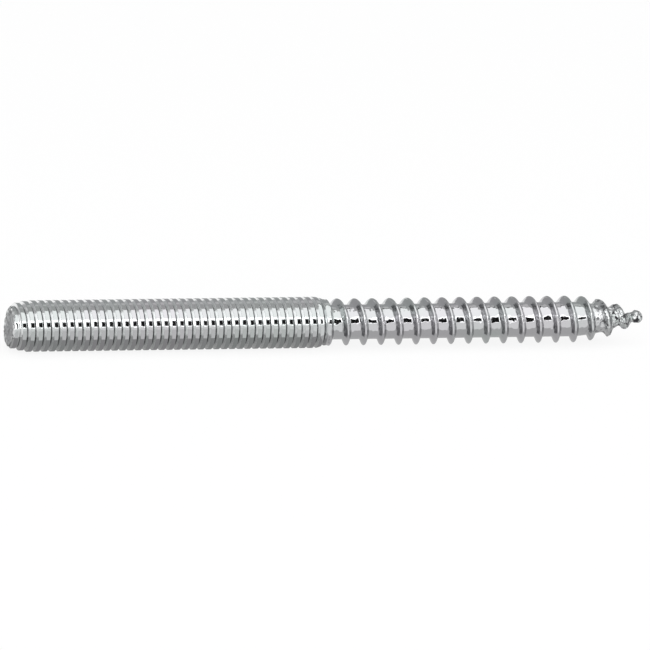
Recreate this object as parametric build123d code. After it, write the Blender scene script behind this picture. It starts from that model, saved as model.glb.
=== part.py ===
from build123d import *
import os
from math import atan2, ceil, degrees, hypot

# Stud bolt with a machine thread on one end and a coarse wood thread with a gimlet point on the other.
# Lengths are in millimetres. The bolt is built along Z from its machine end and laid down along X at the end.

# Whole bolt
overall_length = 102.0
machine_length = 51.4

# Machine end, drawn at the crest diameter of its fine thread
machine_diameter = 7.9
end_face_diameter = 6.1
chamfer_diameter = 7.1
chamfer_length = 1.1
lead_length = 2.1
runout_length = 1.1

# Plain land of the rolled blank and its shoulder
land_diameter = 7.16
land_length = 1.5
shoulder_break = 0.2

# Wood thread, right handed like the machine thread
core_diameter = 5.36
wood_diameter = 7.26
wood_pitch = 2.82
ridge_root_width = 1.25
ridge_crest_width = 0.3

# Gimlet point, which bows in to a thin pin that the last turn of the ridge winds round
point_length = 12.0
pin_length = 2.0
pin_diameter = 1.0
tip_diameter = 0.8
tip_length = 3.8
tip_reach = 0.7

# How the core bows in to the pin, how late the ridge fades there, and where around the bolt it ends
point_bow = 2
ridge_fade = 14
ridge_end_angle = 248
full_turn = 360
steps_per_turn = 2

os.makedirs("parts", exist_ok=True)


def machine_shank():
    """Turned blank of the machine end, from its chamfered end face to the shoulder."""
    full_start = chamfer_length + lead_length
    land_start = machine_length - land_length
    outline = Polyline(
        (0, 0),
        (end_face_diameter / 2, 0),
        (chamfer_diameter / 2, chamfer_length),
        (machine_diameter / 2, full_start),
        (machine_diameter / 2, land_start - runout_length),
        (land_diameter / 2, land_start),
        (land_diameter / 2, machine_length - shoulder_break),
        (land_diameter / 2 - shoulder_break, machine_length),
        (0, machine_length),
        close=True,
    )
    return revolve(Plane.XZ * make_face(outline), Axis.Z)


def point_share(height):
    """Share of the gimlet point that lies below this height."""
    point_start = overall_length - point_length
    return min(max((height - point_start) / point_length, 0), 1)


def core_radius(height):
    """Radius of the core, straight along the thread and bowed in over the point."""
    bow_share = min(point_share(height) * point_length / (point_length - pin_length), 1) ** point_bow
    return core_diameter / 2 + (pin_diameter - core_diameter) / 2 * bow_share


def ridge_section(height):
    """Corners of the ridge at this height as pairs of radius and height, from its low root to its high root."""
    size_share = 1 - point_share(height) ** ridge_fade
    root_radius = core_radius(height)
    crest_radius = root_radius + (wood_diameter - core_diameter) / 2 * size_share
    root_half = ridge_root_width / 2 * size_share
    crest_half = ridge_crest_width / 2 * size_share
    return [
        (root_radius, height - root_half),
        (crest_radius, height - crest_half),
        (crest_radius, height + crest_half),
        (root_radius, height + root_half),
    ]


def wound(shape, step):
    """The shape turned about the bolt's axis to where this step of the ridge begins."""
    return shape.rotate(Axis.Z, full_turn / steps_per_turn * step)


def winding_edge(low, high, step):
    """Right-handed helix through one step, on the cylinder or cone between two section corners."""
    low_radius, low_height = low
    high_radius, high_height = high
    rise = high_height - low_height
    growth = high_radius - low_radius
    pitch = hypot(rise, growth) * steps_per_turn
    slope = degrees(atan2(growth, rise))
    return wound(Edge.make_helix(pitch, rise, low_radius, (0, 0, low_height), angle=slope), step)


def axis_edge(low, high):
    """Piece of the bolt's axis between the heights of two section corners."""
    return Edge.make_line((0, 0, low[1]), (0, 0, high[1]))


def radial_cap(corners, step):
    """Flat face from the bolt's axis out to a run of section corners."""
    outline = [(0, corners[0][1]), *corners, (0, corners[-1][1])]
    return wound(Face(Wire.make_polygon([(radius, 0, height) for radius, height in outline])), step)


def wood_thread():
    """Core and helical ridge of the wood thread as one closed solid that starts inside the shank."""
    top = overall_length - tip_reach
    steps = steps_per_turn * (ceil((top - machine_length) / wood_pitch) + 1)
    heights = [top - (steps - step) * wood_pitch / steps_per_turn for step in range(steps + 1)]
    sections = [ridge_section(height) for height in heights]
    ridge = []
    for step in range(steps):
        corner_pairs = zip(sections[step], sections[step + 1])
        ridge.append([winding_edge(low, high, step) for low, high in corner_pairs])

    ruled = Face.make_surface_from_curves
    faces = []
    for step, edges in enumerate(ridge):
        low_root, low_crest, high_crest, high_root = edges
        faces.append(ruled(low_root, low_crest))
        faces.append(ruled(low_crest, high_crest))
        faces.append(ruled(high_crest, high_root))
        if step < steps_per_turn:
            faces.append(ruled(axis_edge(sections[step][0], sections[step + 1][0]), low_root))
        if step < steps - steps_per_turn:
            faces.append(ruled(high_root, ridge[step + steps_per_turn][0]))
        else:
            faces.append(ruled(high_root, axis_edge(sections[step][-1], sections[step + 1][-1])))

    next_root = sections[steps_per_turn][0]
    last_root = sections[steps - steps_per_turn][-1]
    faces.append(radial_cap([*sections[0], next_root], 0))
    faces.append(radial_cap([last_root, *sections[steps]], steps))
    end_turn = full_turn / steps_per_turn * steps
    return Solid(Shell(faces)).rotate(Axis.Z, ridge_end_angle - end_turn)


def tip():
    """Blunt tip that stands out of the last turn of the ridge, rooted inside the core."""
    base = Pos(0, 0, overall_length - tip_length)
    return base * Cylinder(tip_diameter / 2, tip_length, align=(Align.CENTER, Align.CENTER, Align.MIN))


def stud_bolt():
    """The whole bolt, lying along X on the crests of its machine thread with the point at +X."""
    upright = machine_shank() + wood_thread() + tip()
    return Pos(-overall_length / 2, 0, machine_diameter / 2) * Rot(0, 90, 0) * upright


export_step(stud_bolt(), "parts/stud_bolt.step")
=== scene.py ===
"""Looks, studio and camera for a stud bolt with a machine thread and a wood thread."""

import logging
import math
from dataclasses import dataclass, field
from enum import Enum
from typing import Any, Dict, List, Mapping, Sequence, Tuple, Union

import bpy
import numpy as np
from mathutils import Matrix, Vector, noise


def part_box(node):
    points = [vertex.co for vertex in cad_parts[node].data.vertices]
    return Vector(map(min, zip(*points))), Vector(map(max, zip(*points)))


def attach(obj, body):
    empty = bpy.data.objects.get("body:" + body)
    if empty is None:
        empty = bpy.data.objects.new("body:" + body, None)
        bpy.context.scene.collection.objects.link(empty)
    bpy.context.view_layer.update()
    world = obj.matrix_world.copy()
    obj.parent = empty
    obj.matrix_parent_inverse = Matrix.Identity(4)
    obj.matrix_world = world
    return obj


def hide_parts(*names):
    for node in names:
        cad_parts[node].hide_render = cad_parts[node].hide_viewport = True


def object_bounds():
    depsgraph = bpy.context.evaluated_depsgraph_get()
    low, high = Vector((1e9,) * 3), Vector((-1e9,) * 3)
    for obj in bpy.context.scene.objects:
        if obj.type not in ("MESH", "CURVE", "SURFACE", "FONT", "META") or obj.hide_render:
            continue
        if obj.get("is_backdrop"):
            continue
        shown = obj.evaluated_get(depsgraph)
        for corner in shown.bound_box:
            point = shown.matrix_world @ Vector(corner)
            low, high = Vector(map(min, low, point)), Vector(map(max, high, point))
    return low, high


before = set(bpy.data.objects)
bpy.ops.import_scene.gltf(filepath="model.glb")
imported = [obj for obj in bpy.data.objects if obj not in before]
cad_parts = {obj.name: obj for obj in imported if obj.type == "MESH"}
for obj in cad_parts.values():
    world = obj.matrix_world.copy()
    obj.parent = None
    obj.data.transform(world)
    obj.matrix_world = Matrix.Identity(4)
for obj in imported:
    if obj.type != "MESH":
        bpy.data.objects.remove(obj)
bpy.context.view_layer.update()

log = logging.getLogger("stud_bolt")

MM = 0.001
FULL_TURN = 2 * math.pi
IMAGE_SIDE = 650
NOISE_MIDDLE = 0.5

Array = np.ndarray
Colour = Tuple[float, float, float]
Span = Tuple[float, float]

WHITE_PAINT: Colour = (0.95, 0.95, 0.95)
WHITE_MOTTLE: Colour = (0.93, 0.93, 0.93)
CARD_GREY: Colour = (0.06, 0.06, 0.06)
CARD_MOTTLE: Colour = (0.05, 0.05, 0.05)
CLOTH_BLACK: Colour = (0.012, 0.012, 0.012)
CLOTH_MOTTLE: Colour = (0.016, 0.016, 0.016)


class Hand(Enum):
    """Which way a thread winds as it runs along +X."""

    RIGHT = 1
    LEFT = -1


class Zone(Enum):
    """Names of the values that the mesh carries for its finish."""

    # Paler metal on the machine thread below its crests: painted light in the grooves.
    PAINTED_LIGHT = "painted_light"
    # Near-black metal at the machine thread's roots and on the wood ridges' flanks, most on the flanks that
    # face the point: painted shade.
    PAINTED_SHADE = "painted_shade"
    WAVY = "wavy"
    RAW = "raw"
    FACE = "face"


def soft_min(first: Array, second: Union[Array, float], width: float) -> Array:
    """The lower of two values with a rounded change-over.

    Args:
        first: Values.
        second: Values to compare them with.
        width: Difference over which the change-over is rounded.

    Returns:
        The rounded minimum.
    """
    near = np.maximum(width - np.abs(first - second), 0) / width
    return np.minimum(first, second) - near * near * width / 4


def soft_max(first: Array, second: Union[Array, float], width: float) -> Array:
    """The higher of two values with a rounded change-over.

    Args:
        first: Values.
        second: Values to compare them with.
        width: Difference over which the change-over is rounded.

    Returns:
        The rounded maximum.
    """
    near = np.maximum(width - np.abs(first - second), 0) / width
    return np.maximum(first, second) + near * near * width / 4


def smooth_step(values: Array, start: float, end: float) -> Array:
    """Smooth rise from 0 to 1.

    Args:
        values: Where to read the rise.
        start: Value at which it leaves 0.
        end: Value at which it reaches 1.

    Returns:
        The rise at each value.
    """
    share = np.clip((values - start) / (end - start), 0, 1)
    return share * share * (3 - 2 * share)


def ripple(station: Array, angle: Array, radius: Array, size: float, octaves: int, seed: float) -> Array:
    """Smooth noise on points given by station along the bolt, angle and radius.

    Args:
        station: Distances along the bolt, in millimetres.
        angle: Angles from +Y towards +Z.
        radius: Distances from the axis, in millimetres.
        size: Size of the largest waves, in millimetres.
        octaves: How many finer layers are added.
        seed: Offset that sets one pattern apart from another.

    Returns:
        Noise between about -1 and 1.
    """
    points = np.column_stack([station, radius * np.cos(angle), radius * np.sin(angle)]) / size + seed
    return np.array([noise.turbulence(Vector(point), octaves, False) for point in points])


@dataclass(frozen=True)
class ThreadForm:
    """Section and winding of one thread, in millimetres.

    The ridge has a flat crest and straight flanks, both rounded where they meet. One of its crests passes
    the station crest_at in the direction datum_angle, in degrees from +Y towards +Z.
    """

    pitch: float
    crest_width: float
    root_width: float
    crest_round_share: float
    root_round_share: float
    crest_at: float
    datum_angle: float
    offsets: Tuple[float, ...]
    hand: Hand = Hand.RIGHT
    spare_turns: int = 2

    def lead(self, angle: Array) -> Array:
        """How far along the bolt the crest has moved at each angle from the datum."""
        return self.hand.value * self.pitch * (angle - math.radians(self.datum_angle)) / FULL_TURN

    def offset(self, station: Array, angle: Array) -> Array:
        """Distance along the bolt from the nearest crest."""
        turns = (station - self.crest_at - self.lead(angle)) / self.pitch
        return (turns - np.round(turns)) * self.pitch

    def relief(self, station: Array, angle: Array, spread: Union[Array, float] = 1.0) -> Array:
        """Height of the ridge, 0 on the root and 1 on the crest.

        Args:
            station: Distances along the bolt.
            angle: Angles from +Y towards +Z.
            spread: How much wider than the plain section the ridge is.

        Returns:
            The share of the ridge's full height at each point.
        """
        flank_width = (self.root_width - self.crest_width) / 2
        ramp = (self.root_width / 2 - np.abs(self.offset(station, angle)) / spread) / flank_width
        return soft_max(soft_min(ramp, 1, self.crest_round_share), 0, self.root_round_share)

    def rows(self, first: float, last: float) -> Array:
        """Stations at the datum angle of every section point that can fall between two stations.

        Args:
            first: Station where the thread's skin begins.
            last: Station where it ends.

        Returns:
            The stations in rising order, whole turns of section points at a time.
        """
        low = math.floor((first - self.crest_at) / self.pitch) - self.spare_turns
        high = math.ceil((last - self.crest_at) / self.pitch) + self.spare_turns
        one_turn = np.array(sorted(self.offsets))
        return np.concatenate([self.crest_at + turn * self.pitch + one_turn for turn in range(low, high)])


class Skin:
    """Points round the bolt's axis, and the faces between them."""

    def __init__(self, columns: int) -> None:
        """Starts an empty skin.

        Args:
            columns: How many points each ring has.
        """
        self.columns = columns
        self.angles: Array = np.arange(columns) * FULL_TURN / columns
        self.stations: List[Array] = []
        self.point_angles: List[Array] = []
        self.shares: List[Array] = []
        self.faces: List[Tuple[int, ...]] = []
        self.count = 0

    def add(self, stations: Array, angles: Array, share: float = 1.0) -> Array:
        """Adds points.

        Args:
            stations: Their distances along the bolt.
            angles: Their angles.
            share: Share of the bolt's own radius at which they lie.

        Returns:
            The numbers of the new points.
        """
        numbers = np.arange(self.count, self.count + len(stations))
        self.stations.append(np.asarray(stations, float))
        self.point_angles.append(np.asarray(angles, float))
        self.shares.append(np.full(len(stations), share))
        self.count += len(stations)
        return numbers

    def ring(self, station: float, share: float = 1.0) -> Array:
        """Adds one ring of points at a station and returns their numbers."""
        return self.add(np.full(self.columns, station), self.angles, share)

    def _keep(self, corners: Sequence[int]) -> None:
        """Adds one face, less any corner that repeats, if at least three are left.

        Args:
            corners: Numbers of the face's points in order.
        """
        face = list(dict.fromkeys(int(corner) for corner in corners))
        if len(face) > 2:
            self.faces.append(tuple(face))

    def bands(self, rings: Sequence[Array]) -> None:
        """Joins each ring to the next, which lies further along the bolt or further out.

        Args:
            rings: Numbers of each ring's points.
        """
        for low, high in zip(rings, rings[1:]):
            for near in range(self.columns):
                far = (near + 1) % self.columns
                self._keep((low[near], low[far], high[far], high[near]))

    def cap(self, ring: Array, station: float, outward: int) -> None:
        """Closes a ring with a fan of faces round one point on the axis.

        Args:
            ring: Numbers of the ring's points.
            station: Where the middle point lies along the bolt.
            outward: 1 if the cap faces along +X, and -1 if it faces the other way.
        """
        (middle,) = self.add(np.array([station]), np.array([0.0]), 0.0)
        for near in range(self.columns):
            far = (near + 1) % self.columns
            pair = (ring[near], ring[far])[::outward]
            self._keep((*pair, middle))

    def wind(
        self,
        form: ThreadForm,
        low: Array,
        first: float,
        high: Array,
        last: float,
        snap: float,
    ) -> None:
        """Lays the skin of a thread between two rings, with its edges along the thread's winding.

        Args:
            form: The thread.
            low: Ring that the skin starts from.
            first: That ring's station.
            high: Ring that the skin ends on.
            last: That ring's station.
            snap: Distance from a ring within which a point is taken as one of the ring's.
        """
        rows = form.rows(first, last)
        stations = rows[:, None] + form.lead(self.angles)[None, :]
        numbers = np.where(stations <= first + snap, low[None, :], -1)
        numbers = np.where(stations >= last - snap, high[None, :], numbers)
        free = numbers < 0
        numbers[free] = self.add(stations[free], np.broadcast_to(self.angles, stations.shape)[free])

        # Past the last column, a row goes on as the row one turn of the thread further along.
        seam = len(form.offsets) * form.hand.value
        total = len(rows)
        wrapped = np.clip(np.arange(total) + seam, 0, total - 1)
        beside = np.column_stack([numbers, numbers[wrapped, 0]])
        for this, after in zip(beside, beside[1:]):
            if np.all(this == after):
                continue
            for near in range(self.columns):
                far = near + 1
                self._keep((this[near], this[far], after[far], after[near]))


@dataclass(frozen=True)
class MachineEnd:
    """Threaded rod end with its lead-in, its run-out, its plain land and its shoulder, in millimetres."""

    thread: ThreadForm = ThreadForm(
        pitch=1.25,
        crest_width=0.64,
        root_width=1.22,
        crest_round_share=0.08,
        root_round_share=0.2,
        crest_at=2.68,
        datum_angle=71.5,
        offsets=(
            0, 0.26, -0.26, 0.30, -0.30, 0.33, -0.33, 0.36, -0.36, 0.46, -0.46,
            0.545, -0.545, 0.59, -0.59, 0.625,
        ),
    )
    crest_radius: float = 3.95
    root_radius: float = 3.2
    lead_stations: Tuple[float, ...] = (0.0, 0.15, 1.1, 3.2)
    lead_radii: Tuple[float, ...] = (2.9, 3.08, 3.55, 3.95)
    lead_depth_share: float = 0.45
    rim_end: float = 0.6
    chip_height: float = 0.18
    chip_size: float = 0.4
    chip_layers: int = 2
    chip_seed: float = 8.2
    land_radius: float = 3.57
    taper_start: float = 49.0
    taper_end: float = 50.7
    fade_start: float = 49.6
    fade_end: float = 51.0
    shoulder_start: float = 50.85
    shoulder_end: float = 51.65
    shoulder_foot: float = 2.3
    cup_depth: float = 0.34
    cup_floor_share: float = 0.66
    lip_share: float = 0.93
    slant: float = 0.42
    slant_angle: float = 60.0
    slant_end: float = 1.6

    def sink(self, station: Array, angle: Array, share: Array) -> Array:
        """How far the sheared end lies behind a square cut, with the cup in its face.

        Args:
            station: Distances along the bolt.
            angle: Angles from +Y towards +Z.
            share: Share of the bolt's radius at which each point lies.

        Returns:
            The shift along the bolt at each point.
        """
        side = (1 + share * np.cos(angle - math.radians(self.slant_angle))) / 2
        sheared = self.slant * side * (1 - smooth_step(station, 0, self.slant_end))
        cup = self.cup_depth * (1 - smooth_step(share, self.cup_floor_share, self.lip_share))
        return sheared + np.where(station <= 0, cup, 0)

    def depth(self, station: Array) -> Array:
        """Depth of the groove, which grows along the lead-in and runs out into the land.

        Args:
            station: Distances along the bolt.

        Returns:
            The depth at each station.
        """
        grown = smooth_step(station, self.rim_end / 2, self.lead_stations[-1])
        share = self.lead_depth_share + (1 - self.lead_depth_share) * grown
        share = share * smooth_step(station, 0, self.rim_end)
        share = share * (1 - smooth_step(station, self.fade_start, self.fade_end))
        return (self.crest_radius - self.root_radius) * share

    def radius(self, station: Array, angle: Array) -> Array:
        """Radius of the machine end.

        Args:
            station: Distances along the bolt.
            angle: Angles from +Y towards +Z.

        Returns:
            The radius at each point, which falls to the shoulder's foot past the shoulder.
        """
        root = np.interp(station, self.lead_stations, self.lead_radii) - self.depth(station)
        level = station - self.thread.offset(station, angle) * smooth_step(station, 0, self.rim_end)
        crest = np.interp(level, self.lead_stations, self.lead_radii)
        full = root + (crest - root) * self.thread.relief(station, angle)

        near = station < self.rim_end
        place = (station[near], angle[near], full[near])
        chips = ripple(*place, self.chip_size, self.chip_layers, self.chip_seed)
        full[near] += self.chip_height * chips * (1 - smooth_step(station[near], 0, self.rim_end))

        taper = smooth_step(station, self.taper_start, self.taper_end)
        shank = full + (self.land_radius - self.crest_radius) * taper
        drop = smooth_step(station, self.shoulder_start, self.shoulder_end)
        return shank + (self.shoulder_foot - shank) * drop


@dataclass(frozen=True)
class WoodEnd:
    """Coarse thread with its core, its gimlet point and the lumps of plate on the point, in millimetres."""

    thread: ThreadForm = ThreadForm(
        pitch=2.82,
        crest_width=0.38,
        root_width=1.25,
        crest_round_share=0.42,
        root_round_share=0.26,
        crest_at=55.51,
        datum_angle=71.5,
        offsets=(
            0, 0.07, -0.07, 0.13, -0.13, 0.19, -0.19, 0.26, -0.26, 0.38, -0.38, 0.53, -0.53,
            0.60, -0.60, 0.67, -0.67, 0.76, -0.76, 0.95, -0.95, 1.18, -1.18, 1.41,
        ),
    )
    core_radius: float = 2.68
    ridge_height: float = 0.95
    point_start: float = 90.0
    pin_start: float = 99.9
    pin_radius: float = 0.40
    point_bow: int = 2
    ridge_thin_start: float = 99.9
    ridge_end: float = 101.6
    ridge_spread: float = 0.8
    knob_station: float = 101.0
    knob_half: float = 1.0
    knob_radius: float = 1.0
    knob_lift: float = 0.25
    blend: float = 0.16
    wobble: float = 0.04
    wobble_size: float = 2.6
    wobble_layers: int = 1
    wobble_seed: float = 3.7
    lump_start: float = 91.2
    lump_full: float = 97.0
    lump_height: float = 0.24
    lump_size: float = 0.85
    lump_layers: int = 2
    lump_seed: float = 11.3
    least_radius: float = 0.02

    def bow_share(self, station: Array) -> Array:
        """How far the gimlet point has bowed in at each station, from 0 to 1."""
        share = np.clip((station - self.point_start) / (self.pin_start - self.point_start), 0, 1)
        return share**self.point_bow

    def core(self, station: Array) -> Array:
        """Radius of the core, straight along the thread and bowed in to a thin pin at the point."""
        return self.core_radius + (self.pin_radius - self.core_radius) * self.bow_share(station)

    def knob(self, station: Array, angle: Array) -> Array:
        """Radius of the round knob that ends the point.

        Args:
            station: Distances along the bolt.
            angle: Angles from +Y towards +Z.

        Returns:
            The distance from the axis to the knob's far side, or 0 clear of it.
        """
        share = np.clip((station - self.knob_station) / self.knob_half, -1, 1)
        round_radius = self.knob_radius * np.sqrt(1 - share**2)
        aside = angle - math.radians(self.thread.datum_angle)
        lift = self.knob_lift * round_radius / self.knob_radius
        return lift * np.cos(aside) + np.sqrt(round_radius**2 - (lift * np.sin(aside)) ** 2)

    def lump_share(self, station: Array) -> Array:
        """How lumpy the plate is, from 0 on the smooth thread to 1 on the point."""
        return smooth_step(station, self.lump_start, self.lump_full)

    def radius(self, station: Array, angle: Array) -> Array:
        """Radius of the wood end.

        Args:
            station: Distances along the bolt.
            angle: Angles from +Y towards +Z.

        Returns:
            The radius at each point.
        """
        core = self.core(station)
        crest_station = station - self.thread.offset(station, angle)
        height = self.ridge_height * (1 - smooth_step(crest_station, self.ridge_thin_start, self.ridge_end))
        uneven = ripple(crest_station, angle, core, self.wobble_size, self.wobble_layers, self.wobble_seed)
        height = height + self.wobble * uneven
        spread = 1 + self.ridge_spread * self.bow_share(station)
        ridged = core + height * self.thread.relief(station, angle, spread)

        knob = self.knob(station, angle)
        closing = smooth_step(station, self.knob_station + self.knob_half, self.knob_station)
        whole = np.where(knob > 0, soft_max(ridged * closing, knob, self.blend), ridged)
        lumps = closing * self.lump_height * self.lump_share(station)
        bumps = ripple(station, angle, whole, self.lump_size, self.lump_layers, self.lump_seed)
        return np.maximum(whole + lumps * bumps, self.least_radius)


class Value:
    """A shader value whose arithmetic adds Math nodes."""

    def __init__(self, graph: "ShaderGraph", socket: bpy.types.NodeSocket) -> None:
        """Wraps a socket.

        Args:
            graph: Graph that the socket is in.
            socket: Output socket of one of its nodes.
        """
        self.graph = graph
        self.socket = socket

    def _math(self, operation: str, first: "Operand", second: "Operand") -> "Value":
        """Adds one Math node and returns its result."""
        return self.graph.value("ShaderNodeMath", {"operation": operation}, {0: first, 1: second})

    def __add__(self, other: "Operand") -> "Value":
        """Sum."""
        return self._math("ADD", self, other)

    def __radd__(self, other: "Operand") -> "Value":
        """Sum with a number first."""
        return self._math("ADD", other, self)

    def __sub__(self, other: "Operand") -> "Value":
        """Difference."""
        return self._math("SUBTRACT", self, other)

    def __rsub__(self, other: "Operand") -> "Value":
        """Difference with a number first."""
        return self._math("SUBTRACT", other, self)

    def __mul__(self, other: "Operand") -> "Value":
        """Product."""
        return self._math("MULTIPLY", self, other)

    def __rmul__(self, other: "Operand") -> "Value":
        """Product with a number first."""
        return self._math("MULTIPLY", other, self)

    def highest(self, other: "Operand") -> "Value":
        """The higher of two values."""
        return self._math("MAXIMUM", self, other)

    def between(self, low: float, high: float) -> "Value":
        """Smooth rise from 0 at low to 1 at high."""
        sockets = {"Value": self, "From Min": low, "From Max": high, "To Min": 0.0, "To Max": 1.0}
        return self.graph.value("ShaderNodeMapRange", {"interpolation_type": "SMOOTHSTEP"}, sockets)


Operand = Union[Value, float, int]
Plug = Union[Value, bpy.types.NodeSocket, float, int, Sequence[float]]
Settings = Mapping[str, Any]
Sockets = Mapping[Union[str, int], Plug]


@dataclass(frozen=True)
class Speckle:
    """Noise of a finish: its scale per metre, its finer layers and the limits between which it shows."""

    per_metre: float
    layers: float
    limits: Span = (0.0, 1.0)


class ShaderGraph:
    """Nodes of one material or world."""

    def __init__(self, tree: bpy.types.NodeTree) -> None:
        """Empties a node tree to build in.

        Args:
            tree: The tree.
        """
        self.tree = tree
        tree.nodes.clear()

    def node(self, kind: str, settings: Settings, sockets: Sockets) -> bpy.types.Node:
        """Adds one node.

        Args:
            kind: The node's type.
            settings: What is set on the node before its sockets.
            sockets: The value or link of each named or numbered input.

        Returns:
            The new node.
        """
        node = self.tree.nodes.new(kind)
        for name, setting in settings.items():
            setattr(node, name, setting)
        for key, plug in sockets.items():
            source = plug.socket if isinstance(plug, Value) else plug
            if isinstance(source, bpy.types.NodeSocket):
                self.tree.links.new(source, node.inputs[key])
            else:
                node.inputs[key].default_value = source
        return node

    def value(self, kind: str, settings: Settings, sockets: Sockets, output: Union[str, int] = 0) -> Value:
        """Adds one node and wraps one of its outputs.

        Args:
            kind: The node's type.
            settings: What is set on the node.
            sockets: The value or link of each input.
            output: Name or number of the output.

        Returns:
            The wrapped output.
        """
        return Value(self, self.node(kind, settings, sockets).outputs[output])

    def noise(self, place: Value, pattern: Speckle) -> Value:
        """Noise between 0 and 1 at the given coordinates."""
        sockets = {"Vector": place, "Scale": pattern.per_metre, "Detail": pattern.layers}
        return self.value("ShaderNodeTexNoise", {}, sockets)

    def flecks(self, place: Value, pattern: Speckle) -> Value:
        """Noise that rises from 0 to 1 between the pattern's limits."""
        return self.noise(place, pattern).between(*pattern.limits)

    def mix(self, share: Plug, first: Plug, second: Plug) -> Value:
        """Mixes two colours.

        Args:
            share: Share of the second colour.
            first: First colour.
            second: Second colour.

        Returns:
            The mixed colour.
        """
        # A Mix node's colours are its inputs 6 and 7 and its output 2.
        pair = [(*colour, 1.0) if isinstance(colour, tuple) else colour for colour in (first, second)]
        return self.value("ShaderNodeMix", {"data_type": "RGBA"}, {0: share, 6: pair[0], 7: pair[1]}, 2)

    def zone(self, zone: Zone) -> Value:
        """Reads one of the values that the mesh carries."""
        return self.value("ShaderNodeAttribute", {"attribute_name": zone.value}, {}, "Fac")

    def seen(self) -> Value:
        """Finds which rays see a surface as it is, and not only by the light that it gives back.

        Returns:
            1 for what the camera sees, in a mirror image or through glass too, and 0 elsewhere.
        """
        path = self.node("ShaderNodeLightPath", {}, {})
        names = ("Is Camera Ray", "Is Glossy Ray", "Is Transmission Ray")
        camera, glossy, through = (Value(self, path.outputs[name]) for name in names)
        return camera.highest(glossy).highest(through)

    def output(self, kind: str, shader: bpy.types.Node) -> None:
        """Links a shader to the tree's surface output."""
        self.node(kind, {}, {"Surface": shader.outputs[0]})


@dataclass(frozen=True)
class ZincPlate:
    """Bright zinc plate on rolled steel, with a faint cast of its passivation and heights in metres."""

    name: str = "bright_zinc"
    green_cast: Colour = (0.552, 0.582, 0.575)
    lilac_cast: Colour = (0.576, 0.570, 0.588)
    # Paler metal: painted light in the machine thread's grooves, and painted glints on the end face's rim.
    painted_light_tint: Colour = (0.88, 0.89, 0.89)
    # Near-black metal for painted shade at the machine thread's roots and on the wood ridges' flanks.
    painted_shade_tint: Colour = (0.08, 0.084, 0.088)
    raw_tint: Colour = (0.62, 0.625, 0.63)
    face_tint: Colour = (0.43, 0.435, 0.44)
    # Near-black metal for dark specks on the end face's rim and for painted dark reflections on the point.
    dark_speck_tint: Colour = (0.05, 0.05, 0.053)
    cast: Speckle = Speckle(95, 2, (0.38, 0.62))
    cloud: Speckle = Speckle(900, 3)
    specks: Speckle = Speckle(2600, 2, (0.55, 0.65))
    # Specks on the point painted near-black as dark reflections.
    painted_dark_reflections: Speckle = Speckle(1500, 1, (0.57, 0.62))
    glints: Speckle = Speckle(1900, 2, (0.5, 0.58))
    waves: Speckle = Speckle(1000, 1)
    grain: Speckle = Speckle(5200, 2)
    crumbs: Speckle = Speckle(1300, 2)
    painted_shade_cloud: Span = (0.0, 0.6)
    raw_cloud: Span = (0.3, 0.7)
    raw_speck_share: float = 0.2
    face_speck_share: float = 0.25
    face_crumb_share: float = 0.5
    rim_gain: float = 4.0
    roughness: float = 0.09
    roughness_spread: float = 0.06
    painted_light_roughness: float = 0.06
    face_roughness: float = 0.32
    wave_height: float = 120e-6
    grain_height: float = 4e-6
    crumb_height: float = 420e-6

    def material(self) -> bpy.types.Material:
        """Builds the material.

        Returns:
            The finished material.
        """
        made = bpy.data.materials.new(self.name)
        made.use_nodes = True
        graph = ShaderGraph(made.node_tree)
        place = graph.value("ShaderNodeTexCoord", {}, {}, "Object")
        painted_light, painted_shade, wavy, raw, face = (graph.zone(zone) for zone in Zone)

        cloud = graph.noise(place, self.cloud)
        specks = graph.flecks(place, self.specks)
        plate = graph.mix(graph.flecks(place, self.cast), self.green_cast, self.lilac_cast)
        # Paler metal below the machine thread's crests: painted light in the grooves.
        pale = graph.mix(painted_light, plate, self.painted_light_tint)
        # Near-black patches, broken by the cloud noise, at the machine thread's roots and on the wood
        # ridges' flanks: painted shade.
        shaded = graph.mix(painted_shade * cloud.between(*self.painted_shade_cloud), pale, self.painted_shade_tint)
        crusted = raw * (1 - self.raw_speck_share) + specks * self.raw_speck_share
        patchy = graph.mix(crusted * cloud.between(*self.raw_cloud), shaded, self.raw_tint)
        sheared = face * (1 - self.face_speck_share + specks * self.face_speck_share)
        faced = graph.mix(sheared, patchy, self.face_tint)

        # The rim is where the face's own value is half way.
        rim = face * (1 - face) * self.rim_gain
        # Pale specks on the end face's rim: painted glints.
        lit = graph.mix(rim * graph.flecks(place, self.glints), faced, self.painted_light_tint)
        # Near-black specks on the point are painted dark reflections; dark specks also fleck the end face's
        # rim.
        painted_dark_reflections = graph.flecks(place, self.painted_dark_reflections) * raw
        colour = graph.mix((rim * specks).highest(painted_dark_reflections), lit, self.dark_speck_tint)

        worn = painted_light * self.painted_light_roughness + face * self.face_roughness
        rough = self.roughness + (cloud - NOISE_MIDDLE) * self.roughness_spread + worn
        waves = graph.noise(place, self.waves) * wavy * self.wave_height
        grain = graph.noise(place, self.grain) * self.grain_height
        crumbs = graph.noise(place, self.crumbs) * (raw + face * self.face_crumb_share) * self.crumb_height
        relief = {"Strength": 1.0, "Distance": 1.0, "Height": waves + grain + crumbs}
        bump = graph.value("ShaderNodeBump", {}, relief)
        sockets = {"Base Color": colour, "Metallic": 1.0, "Roughness": rough, "Normal": bump}
        graph.output("ShaderNodeOutputMaterial", graph.node("ShaderNodeBsdfPrincipled", {}, sockets))
        return made


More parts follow.
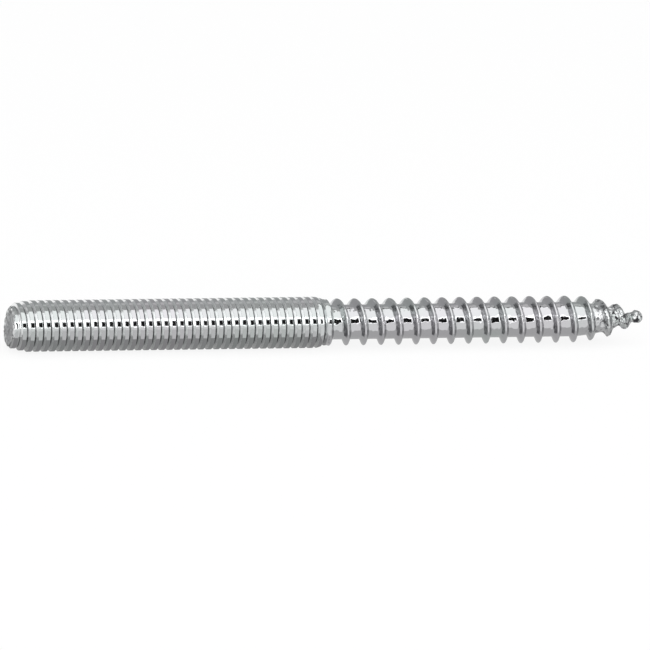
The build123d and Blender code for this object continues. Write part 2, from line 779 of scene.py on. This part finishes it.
@dataclass(frozen=True)
class PlainFinish:
    """Matt finish of one piece of the studio, with a faint mottle and, if asked, a share of even white."""

    name: str
    colour: Colour
    mottle: Colour
    white_share: float = 0.0
    clouds: Speckle = Speckle(40, 2)
    roughness: float = 0.9
    specular: float = 0.1

    def material(self) -> bpy.types.Material:
        """Builds the material.

        Returns:
            The finished material.
        """
        made = bpy.data.materials.new(self.name)
        made.use_nodes = True
        graph = ShaderGraph(made.node_tree)
        place = graph.value("ShaderNodeTexCoord", {}, {}, "Object")
        colour = graph.mix(graph.noise(place, self.clouds), self.colour, self.mottle)
        sockets = {"Base Color": colour, "Roughness": self.roughness, "Specular IOR Level": self.specular}
        shader = graph.node("ShaderNodeBsdfPrincipled", {}, sockets)
        if self.white_share:
            white = graph.node("ShaderNodeEmission", {}, {"Color": (1, 1, 1, 1), "Strength": 1.0})
            share = graph.seen() * self.white_share
            blend = {0: share, 1: shader.outputs[0], 2: white.outputs[0]}
            shader = graph.node("ShaderNodeMixShader", {}, blend)
        graph.output("ShaderNodeOutputMaterial", shader)
        return made


@dataclass
class StudBolt:
    """The whole bolt as one skin, built along the box of its solid, in millimetres.

    The last values are limits between which a zone of the finish fades, most of them in shares of a
    thread's height or of the bolt's radius.
    """

    machine: MachineEnd = field(default_factory=MachineEnd)
    wood: WoodEnd = field(default_factory=WoodEnd)
    finish: ZincPlate = field(default_factory=ZincPlate)
    name: str = "stud_bolt_skin"
    node: str = "stud_bolt"
    slot: str = "zinc_plate"
    columns: int = 80
    snap: float = 0.035
    face_rings: Tuple[float, ...] = (0.18, 0.36, 0.52, 0.62, 0.70, 0.77, 0.83, 0.88, 0.92, 0.96)
    thread_end: float = 51.05
    shoulder_span: Span = (51.1, 51.8)
    shoulder_rings: int = 13
    wood_start: float = 51.9
    tip_start: float = 101.9
    union_round: float = 0.14
    crater_height: float = 0.22
    crater_size: float = 0.8
    crater_layers: int = 2
    crater_seed: float = 5.1
    sharp_angle: float = 50.0
    machine_wave: float = 0.15
    # Shares of painted shade at the machine thread's roots and on the wood ridges' flanks that face the
    # machine end and the point.
    root_painted_shade: float = 0.95
    fore_painted_shade: float = 0.08
    aft_painted_shade: float = 0.8
    rim_fade: float = 0.5
    groove_foot: Span = (0.0, 0.25)
    groove_top: Span = (0.85, 0.99)
    flank_foot: Span = (0.0, 0.3)
    flank_top: Span = (0.7, 1.0)
    flank_change: Span = (-0.2, 0.2)
    face_edge: Span = (0.02, 0.3)
    rim_edge: Span = (0.78, 0.97)

    def length(self) -> float:
        """Length of the solid."""
        low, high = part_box(self.node)
        return (high.x - low.x) / MM

    def radius(self, station: Array, angle: Array) -> Array:
        """Radius of the bolt.

        Args:
            station: Distances along the bolt.
            angle: Angles from +Y towards +Z.

        Returns:
            The radius at each point.
        """
        radii = self.machine.radius(station, angle)
        past = station > self.machine.shoulder_start
        wood = self.wood.radius(station[past], angle[past])
        radii[past] = soft_max(radii[past], wood, self.union_round)
        clear = station > self.wood_start
        radii[clear] = self.wood.radius(station[clear], angle[clear])
        return radii

    def skin(self) -> Skin:
        """Lays out the bolt's points and faces.

        Returns:
            The skin.
        """
        skin = Skin(self.columns)
        face = [skin.ring(0.0, share) for share in self.face_rings]
        start = skin.ring(0.0)
        skin.cap(face[0], 0.0, -1)
        skin.bands([*face, start])
        land_start = skin.ring(self.thread_end)
        skin.wind(self.machine.thread, start, 0.0, land_start, self.thread_end, self.snap)
        shoulder = [skin.ring(station) for station in np.linspace(*self.shoulder_span, self.shoulder_rings)]
        wood_start = skin.ring(self.wood_start)
        skin.bands([land_start, *shoulder, wood_start])
        tip = skin.ring(self.tip_start)
        skin.wind(self.wood.thread, wood_start, self.wood_start, tip, self.tip_start, self.snap)
        skin.cap(tip, self.length(), 1)
        return skin

    def zones(self, station: Array, angle: Array, share: Array) -> Dict[Zone, Array]:
        """Values that the finish reads.

        Args:
            station: Distances along the bolt.
            angle: Angles from +Y towards +Z.
            share: Share of the bolt's radius at which each point lies.

        Returns:
            For each zone, its value at each point.
        """
        on_machine = station < self.machine.shoulder_start
        faded = smooth_step(station, self.machine.taper_start, self.machine.fade_end)
        fine = self.machine.thread.relief(station, angle)
        # Paler metal below the machine thread's crests, fading out towards the land: painted light in the
        # grooves.
        groove = 1 - smooth_step(fine, *self.groove_top)
        # Near-black metal in the machine thread's roots: painted shade in the recess.
        root = self.root_painted_shade * (1 - smooth_step(fine, *self.groove_foot))

        coarse = self.wood.thread.relief(station, angle)
        flank = smooth_step(coarse, *self.flank_foot) * (1 - smooth_step(coarse, *self.flank_top))
        aft = smooth_step(self.wood.thread.offset(station, angle), *self.flank_change)
        # Near-black metal on the wood ridges' flanks, a little on those that face the machine end and most
        # on those that face the point: painted shade.
        painted_shade = flank * (self.fore_painted_shade + (self.aft_painted_shade - self.fore_painted_shade) * aft)

        rim = 1 - self.rim_fade * smooth_step(share, *self.rim_edge)
        return {
            Zone.PAINTED_LIGHT: np.where(on_machine, groove * (1 - faded), 0),
            Zone.PAINTED_SHADE: np.where(on_machine, root, painted_shade),
            Zone.WAVY: np.where(on_machine, np.maximum(self.machine_wave, faded), 1 - flank),
            Zone.RAW: self.wood.lump_share(station),
            Zone.FACE: (1 - smooth_step(station, *self.face_edge)) * rim,
        }

    def build(self) -> bpy.types.Object:
        """Builds the bolt's mesh in the place of its solid.

        Returns:
            The bolt's object.
        """
        low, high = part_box(self.node)
        skin = self.skin()
        station = np.concatenate(skin.stations)
        angle = np.concatenate(skin.point_angles)
        share = np.concatenate(skin.shares)
        radius = self.radius(station, angle) * share
        sink = self.machine.sink(station, angle, share)
        dents = ripple(station, angle, radius, self.crater_size, self.crater_layers, self.crater_seed)
        sunk = station + sink + np.where(station <= 0, np.abs(dents) * self.crater_height, 0)
        points = np.column_stack([
            low.x + sunk * MM,
            (low.y + high.y) / 2 + radius * np.cos(angle) * MM,
            (low.z + high.z) / 2 + radius * np.sin(angle) * MM,
        ])
        mesh = bpy.data.meshes.new(self.name)
        mesh.from_pydata(points.tolist(), [], skin.faces)
        for zone, values in self.zones(station, angle, share).items():
            layer = mesh.attributes.new(zone.value, "FLOAT", "POINT")
            layer.data.foreach_set("value", values.astype(np.float32))
        mesh.polygons.foreach_set("use_smooth", [True] * len(mesh.polygons))
        mesh.set_sharp_from_angle(angle=math.radians(self.sharp_angle))
        mesh.update()
        piece = bpy.data.objects.new(self.name, mesh)
        bpy.context.scene.collection.objects.link(piece)
        return piece

    def dress(self, piece: bpy.types.Object) -> None:
        """Gives the bolt its finish and sets it on the frame.

        Args:
            piece: The bolt's object.
        """
        piece.data.materials.append(self.finish.material())
        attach(piece, "root")
        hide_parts(self.node)


@dataclass
class Studio:
    """Pale floor, two softboxes and the boards and cards that the bolt mirrors, in metres.

    One softbox hangs above the bolt, with dark rims, and one stands in front of it, with a dark card before
    it and a white board below. A kicker board stands behind. Grey cards lie on the floor under the bolt and
    in front of its machine half, as painted shadow and painted shade that only the bolt's mirror images
    show, and a grey flag hangs above it, a little behind.
    """

    floor: PlainFinish = PlainFinish("pale_floor", WHITE_PAINT, WHITE_MOTTLE, 0.88)
    board: PlainFinish = PlainFinish("white_board", WHITE_PAINT, WHITE_MOTTLE, 0.97)
    dark: PlainFinish = PlainFinish("dark_cloth", CLOTH_BLACK, CLOTH_MOTTLE)
    kicker: PlainFinish = PlainFinish("kicker_board", CARD_GREY, CARD_MOTTLE, 0.7)
    # Grey cards that only mirror images show: painted shadow under the bolt and painted shade in front of
    # its machine half.
    deep_shade: PlainFinish = PlainFinish("deep_painted_shadow_card", CARD_GREY, CARD_MOTTLE, 0.31)
    veil_shade: PlainFinish = PlainFinish("veil_painted_shade_card", CARD_GREY, CARD_MOTTLE, 0.76)
    pale_shade: PlainFinish = PlainFinish("pale_painted_shadow_card", CARD_GREY, CARD_MOTTLE, 0.56)
    flag: PlainFinish = PlainFinish("grey_flag", CARD_GREY, CARD_MOTTLE, 0.5)
    floor_half: float = 8.0
    softbox_x: Span = (-1.3, 1.5)
    softbox_y: Span = (-1.15, 0.34)
    softbox_height: float = 0.9
    softbox_radiance: float = 0.97
    rim_width: float = 0.10
    front_distance: float = 3.2
    front_half: float = 4.0
    front_z: Span = (0.42, 2.9)
    front_radiance: float = 2.25
    board_half: float = 7.0
    card_distance: float = 3.1
    card_x: Span = (-0.45, 2.55)
    card_z: Span = (0.58, 2.1)
    kicker_distance: float = 1.6
    kicker_x: Span = (0.65, 2.3)
    kicker_z: Span = (1.5, 4.0)
    shade_half: float = 0.058
    shade_y: Span = (-0.0062, 0.03)
    veil_near: float = -0.06
    shade_lift: float = 0.00003
    flag_x: Span = (-0.2, 0.036)
    flag_y: Span = (-0.005, 0.06)
    flag_height: float = 0.12
    room_colour: Colour = (0.46, 0.465, 0.47)

    def panel(self, name: str, corners: Sequence[Sequence[float]], finish: PlainFinish) -> bpy.types.Object:
        """Adds one flat piece of the studio that the camera doesn't see.

        Args:
            name: Its name.
            corners: Its four corners in order.
            finish: Its finish.

        Returns:
            The piece.
        """
        mesh = bpy.data.meshes.new(name)
        mesh.from_pydata([tuple(corner) for corner in corners], [], [(0, 1, 2, 3)])
        mesh.materials.append(finish.material())
        panel = bpy.data.objects.new(name, mesh)
        panel.visible_camera = False
        bpy.context.scene.collection.objects.link(panel)
        panel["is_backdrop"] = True
        return panel

    def lying(self, name: str, x: Span, y: Span, height: float, finish: PlainFinish) -> bpy.types.Object:
        """Adds a level panel.

        Args:
            name: Its name.
            x: Its left and right edges.
            y: Its near and far edges.
            height: Its height above the floor.
            finish: Its finish.

        Returns:
            The panel.
        """
        (left, right), (near, far) = x, y
        outline = ((left, near), (right, near), (right, far), (left, far))
        return self.panel(name, [(*corner, height) for corner in outline], finish)

    def standing(self, name: str, x: Span, place: float, z: Span, finish: PlainFinish) -> bpy.types.Object:
        """Adds an upright panel that faces along Y.

        Args:
            name: Its name.
            x: Its left and right edges.
            place: Where it stands along Y.
            z: Its lower and upper edges.
            finish: Its finish.

        Returns:
            The panel.
        """
        (left, right), (low, top) = x, z
        outline = ((left, low), (right, low), (right, top), (left, top))
        return self.panel(name, [(across, place, up) for across, up in outline], finish)

    def softbox(self, name: str, place: Vector, aim: Vector, size: Span, radiance: float) -> None:
        """Adds one evenly lit light that the camera doesn't see.

        Args:
            name: Its name.
            place: Its middle.
            aim: Direction that it faces.
            size: Its width and height.
            radiance: How bright it looks.
        """
        lamp = bpy.data.lights.new(name, "AREA")
        lamp.shape = "RECTANGLE"
        lamp.size, lamp.size_y = size
        lamp.energy = radiance * math.pi * size[0] * size[1]
        box = bpy.data.objects.new(name, lamp)
        box.location = place
        box.rotation_euler = aim.to_track_quat("-Z", "Y").to_euler()
        box.visible_camera = False
        bpy.context.scene.collection.objects.link(box)

    def boards(self) -> None:
        """Builds the floor, the overhead softbox's rims and the upright boards."""
        floor_span = (-self.floor_half, self.floor_half)
        floor = self.lying("floor", floor_span, floor_span, 0.0, self.floor)
        floor.visible_camera = True

        (left, right), (_, far) = self.softbox_x, self.softbox_y
        rim, high = self.rim_width, self.softbox_height
        self.lying("rim_far", (left - rim, right + rim), (far, far + rim), high, self.dark)
        self.lying("rim_left", (left - rim, left), self.softbox_y, high, self.dark)
        self.lying("rim_right", (right, right + rim), self.softbox_y, high, self.dark)

        board_span = (-self.board_half, self.board_half)
        self.standing("board", board_span, -self.front_distance, (0.0, self.front_z[0]), self.board)
        self.standing("card", self.card_x, -self.card_distance, self.card_z, self.dark)
        self.standing("kicker", self.kicker_x, self.kicker_distance, self.kicker_z, self.kicker)

    def cards(self) -> None:
        """Builds the small cards round the bolt, which only its mirror images show: three grey cards on the
        floor that are painted shadow and painted shade, and the grey flag.
        """
        machine_half, wood_half = (-self.shade_half, 0.0), (0.0, self.shade_half)
        veil_y = (self.veil_near, self.shade_y[0])
        for x, y, height, finish in (
            # Painted shadow under the machine half, painted shade in front of it, painted shadow under the
            # wood half, then the flag.
            (machine_half, self.shade_y, self.shade_lift, self.deep_shade),
            (machine_half, veil_y, self.shade_lift, self.veil_shade),
            (wood_half, self.shade_y, self.shade_lift, self.pale_shade),
            (self.flag_x, self.flag_y, self.flag_height, self.flag),
        ):
            card = self.lying(finish.name, x, y, height, finish)
            card.visible_shadow = False
            card.visible_diffuse = False

    def lights(self) -> None:
        """Builds the two softboxes."""
        (left, right), (near, far) = self.softbox_x, self.softbox_y
        above = Vector(((left + right) / 2, (near + far) / 2, self.softbox_height))
        size = (right - left, far - near)
        self.softbox("softbox", above, Vector((0, 0, -1)), size, self.softbox_radiance)

        low, top = self.front_z
        front = Vector((0, -self.front_distance, (low + top) / 2))
        size = (2 * self.front_half, top - low)
        self.softbox("front_softbox", front, Vector((0, 1, 0)), size, self.front_radiance)

    def room(self) -> None:
        """Builds the even grey room and sets the plain view."""
        world = bpy.data.worlds.new("room")
        world.use_nodes = True
        graph = ShaderGraph(world.node_tree)
        sockets = {"Color": (*self.room_colour, 1), "Strength": 1.0}
        graph.output("ShaderNodeOutputWorld", graph.node("ShaderNodeBackground", {}, sockets))
        bpy.context.scene.world = world
        bpy.context.scene.view_settings.view_transform = "Standard"

    def build(self) -> None:
        """Builds the whole studio."""
        self.boards()
        self.cards()
        self.lights()
        self.room()


@dataclass
class PhotoCamera:
    """Long lens that sees the bolt as the photograph does.

    Angles are in degrees, distances in metres, the sensor in millimetres and the bolt's middle in pixels.
    """

    azimuth: float = -17.5
    elevation: float = 18.0
    roll: float = 4.82
    distance: float = 2.8
    far_clip: float = 40.0
    sensor: float = 36.0
    pixels_per_mm: float = 6.497
    bolt_middle: Tuple[float, float] = (326.4, 322.15)

    def build(self) -> None:
        """Places the camera so that the bolt's middle falls where the photograph has it."""
        turn, rise, roll = (math.radians(angle) for angle in (self.azimuth, self.elevation, self.roll))
        back = Vector((math.sin(turn) * math.cos(rise), -math.cos(turn) * math.cos(rise), math.sin(rise)))
        level = Vector((math.cos(turn), math.sin(turn), 0))
        upright = back.cross(level)
        right = level * math.cos(roll) + upright * math.sin(roll)
        up = upright * math.cos(roll) - level * math.sin(roll)

        low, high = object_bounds()
        middle = IMAGE_SIDE / 2
        scale = self.pixels_per_mm / MM
        target = (low + high) / 2
        target -= right * (self.bolt_middle[0] - middle) / scale
        target += up * (self.bolt_middle[1] - middle) / scale

        data = bpy.data.cameras.new("camera")
        data.sensor_width = self.sensor
        data.lens = self.sensor * self.distance / (IMAGE_SIDE / scale)
        data.clip_end = self.far_clip
        camera = bpy.data.objects.new("camera", data)
        turned = Matrix((right, up, back)).transposed().to_4x4()
        camera.matrix_world = Matrix.Translation(target + back * self.distance) @ turned
        bpy.context.scene.collection.objects.link(camera)
        bpy.context.scene.camera = camera


def main() -> None:
    """Builds the bolt, the studio and the camera."""
    logging.basicConfig(level=logging.INFO, format="%(name)s: %(message)s")
    bolt = StudBolt()
    piece = bolt.build()
    bolt.dress(piece)
    log.info("%s has %d faces", piece.name, len(piece.data.polygons))
    Studio().build()
    log.info("studio is set")
    PhotoCamera().build()
    log.info("camera is set")


if __name__ == "__main__":
    main()
